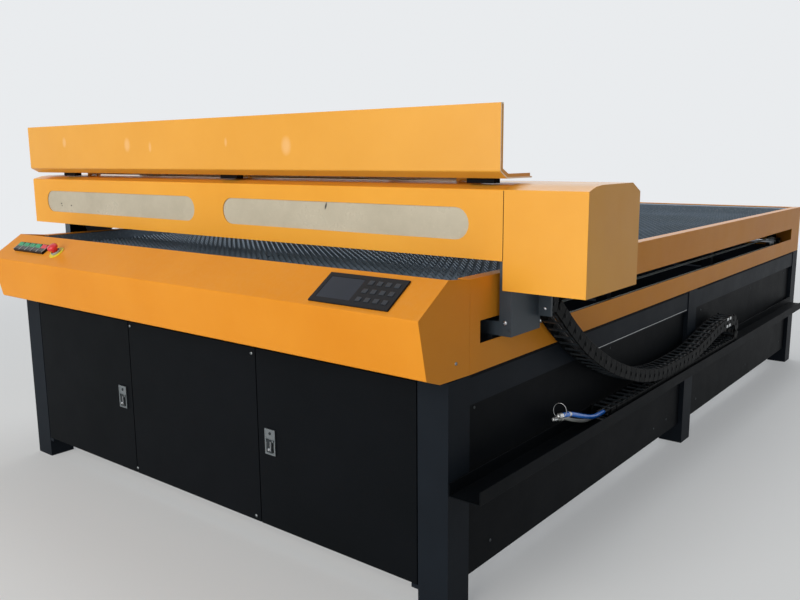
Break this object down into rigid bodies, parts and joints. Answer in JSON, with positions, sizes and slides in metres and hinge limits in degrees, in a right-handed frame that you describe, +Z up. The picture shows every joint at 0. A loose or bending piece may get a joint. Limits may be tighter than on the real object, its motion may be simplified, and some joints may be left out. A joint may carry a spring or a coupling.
{
  "type": "flatbed gantry laser cutting machine",
  "caption": "Flatbed laser cutting machine with a slatted bed, a travelling gantry under a tilting hood, a front console and a cabinet with doors.",
  "frame": {"origin": "centre of the footprint on the floor, halfway along the whole length", "axes": "+Z up, +Y from the operator's console to the rear, +X to the operator's right"},
  "size_m": [2.704, 3.778, 1.384],
  "materials": {
    "orange_paint": "satin powder coat",
    "black_paint": "fine satin powder coat",
    "steel": "satin",
    "aluminium": "satin",
    "slat_steel": "dark, dusty",
    "window_beige": "satin, behind its film",
    "chain_plastic": "satin",
    "rubber": "matte",
    "tube_glass": "clear",
    "switch_green": "gloss",
    "switch_red": "gloss",
    "signal_yellow": "satin",
    "hose_blue": "gloss",
    "hose_white": "satin",
    "display_dark": "gloss"
  },
  "bodies": {
    "bench": {"base_frame": "black_paint", "bed_frame": "black_paint", "slat_grid": "slat_steel", "front_console": "orange_paint", "side_cover_right": "orange_paint", "side_cover_left": "orange_paint", "rear_cover": "orange_paint", "middle_front_panel": "black_paint", "side_panel_right_front": "black_paint", "side_panel_right_rear": "black_paint", "side_panel_left_front": "black_paint", "side_panel_left_rear": "black_paint", "rear_panel": "black_paint", "chain_tray": "black_paint", "cable_chain": "chain_plastic", "blue_hose": "hose_blue", "white_hose": "hose_white", "linear_rail_right": "steel", "linear_rail_left": "steel", "y_belt_right": "rubber", "y_belt_left": "rubber", "y_motor": "black_paint", "control_display": "display_dark", "switch_bank": "steel", "emergency_stop_base": "signal_yellow"},
    "gantry": {"gantry_beam": "aluminium", "gantry_cover": "orange_paint", "gantry_window_left": "window_beige", "gantry_window_right": "window_beige", "gantry_end_box": "orange_paint", "gantry_carrier_right": "black_paint", "gantry_carrier_left": "black_paint", "x_rail": "steel", "laser_tube": "tube_glass", "tube_cradle": "aluminium", "mirror_mount": "aluminium", "hood_hinge_pin": "steel", "hood_pad_left": "rubber", "hood_pad_middle": "rubber", "hood_pad_right": "rubber"},
    "hood": {"tube_hood": "orange_paint"},
    "head": {"head_carriage": "aluminium"},
    "nozzle": {"laser_head": "aluminium"},
    "door_left": {"front_door_left": "black_paint", "latch_plate_left": "steel"},
    "door_right": {"front_door_right": "black_paint", "latch_plate_right": "steel"},
    "paddle_left": {"latch_paddle_left": "steel"},
    "paddle_right": {"latch_paddle_right": "steel"},
    "estop": {"emergency_stop_button": "switch_red"},
    "drive": {"y_drive_shaft": "steel", "drive_pulley_right": "aluminium", "drive_pulley_left": "aluminium"},
    "idler_right": {"idler_pulley_right": "aluminium"},
    "idler_left": {"idler_pulley_left": "aluminium"},
    "rocker_1": {"rocker_switch_1": "switch_green"},
    "rocker_2": {"rocker_switch_2": "switch_green"},
    "rocker_3": {"rocker_switch_3": "switch_green"},
    "rocker_4": {"rocker_switch_4": "switch_green"},
    "rocker_5": {"rocker_switch_5": "switch_red"}
  },
  "joints": [
    {"name": "gantry_travel", "type": "slide", "parent": "bench", "child": "gantry", "axis": [0, 1, 0], "range_m": [-0.05, 2.9], "deforming": ["cable_chain"]},
    {"name": "hood_tilt", "type": "hinge", "parent": "gantry", "child": "hood", "pos_m": [0, -1.398, 1.1835], "axis": [1, 0, 0], "range_deg": [-90, 0]},
    {"name": "head_traverse", "type": "slide", "parent": "gantry", "child": "head", "axis": [1, 0, 0], "range_m": [-1.8, 0.1]},
    {"name": "head_lift", "type": "slide", "parent": "head", "child": "nozzle", "axis": [0, 0, -1], "range_m": [0, 0.03]},
    {"name": "door_left_swing", "type": "hinge", "parent": "bench", "child": "door_left", "pos_m": [-0.97, -1.753, 0.083], "axis": [0, 0, 1], "range_deg": [-105, 0]},
    {"name": "paddle_left_lift", "type": "hinge", "parent": "door_left", "child": "paddle_left", "pos_m": [-0.403, -1.7667, 0.375], "axis": [1, 0, 0], "range_deg": [-60, 0], "stiffness_Nm_per_rad": 0.05},
    {"name": "door_right_swing", "type": "hinge", "parent": "bench", "child": "door_right", "pos_m": [0.97, -1.753, 0.083], "axis": [0, 0, 1], "range_deg": [0, 105]},
    {"name": "paddle_right_lift", "type": "hinge", "parent": "door_right", "child": "paddle_right", "pos_m": [0.403, -1.7667, 0.375], "axis": [1, 0, 0], "range_deg": [-60, 0], "stiffness_Nm_per_rad": 0.05},
    {"name": "rocker_1_tilt", "type": "hinge", "parent": "bench", "child": "rocker_1", "pos_m": [-0.953, -1.82873, 0.90643], "axis": [1, 0, 0], "range_deg": [-16, 0]},
    {"name": "rocker_2_tilt", "type": "hinge", "parent": "bench", "child": "rocker_2", "pos_m": [-0.909, -1.82873, 0.90643], "axis": [1, 0, 0], "range_deg": [-16, 0]},
    {"name": "rocker_3_tilt", "type": "hinge", "parent": "bench", "child": "rocker_3", "pos_m": [-0.865, -1.82873, 0.90643], "axis": [1, 0, 0], "range_deg": [-16, 0]},
    {"name": "rocker_4_tilt", "type": "hinge", "parent": "bench", "child": "rocker_4", "pos_m": [-0.821, -1.82873, 0.90643], "axis": [1, 0, 0], "range_deg": [-16, 0]},
    {"name": "rocker_5_tilt", "type": "hinge", "parent": "bench", "child": "rocker_5", "pos_m": [-0.777, -1.82873, 0.90643], "axis": [1, 0, 0], "range_deg": [-16, 0]},
    {"name": "estop_press", "type": "slide", "parent": "bench", "child": "estop", "axis": [0, 0.5532, -0.833], "range_m": [0, 0.005], "stiffness_N_per_m": 800},
    {"name": "drive_spin", "type": "hinge", "parent": "bench", "child": "drive", "pos_m": [0, 1.749, 0.7345], "axis": [1, 0, 0], "continuous": true},
    {"name": "idler_right_spin", "type": "hinge", "parent": "bench", "child": "idler_right", "pos_m": [0.975, -1.601, 0.7345], "axis": [1, 0, 0], "continuous": true},
    {"name": "idler_left_spin", "type": "hinge", "parent": "bench", "child": "idler_left", "pos_m": [-0.975, -1.601, 0.7345], "axis": [1, 0, 0], "continuous": true}
  ],
  "couplings": [
    {"joint": "drive_spin", "follows": "gantry_travel", "rad_per_m": -39.53},
    {"joint": "idler_right_spin", "follows": "gantry_travel", "rad_per_m": -39.53},
    {"joint": "idler_left_spin", "follows": "gantry_travel", "rad_per_m": -39.53}
  ]
}
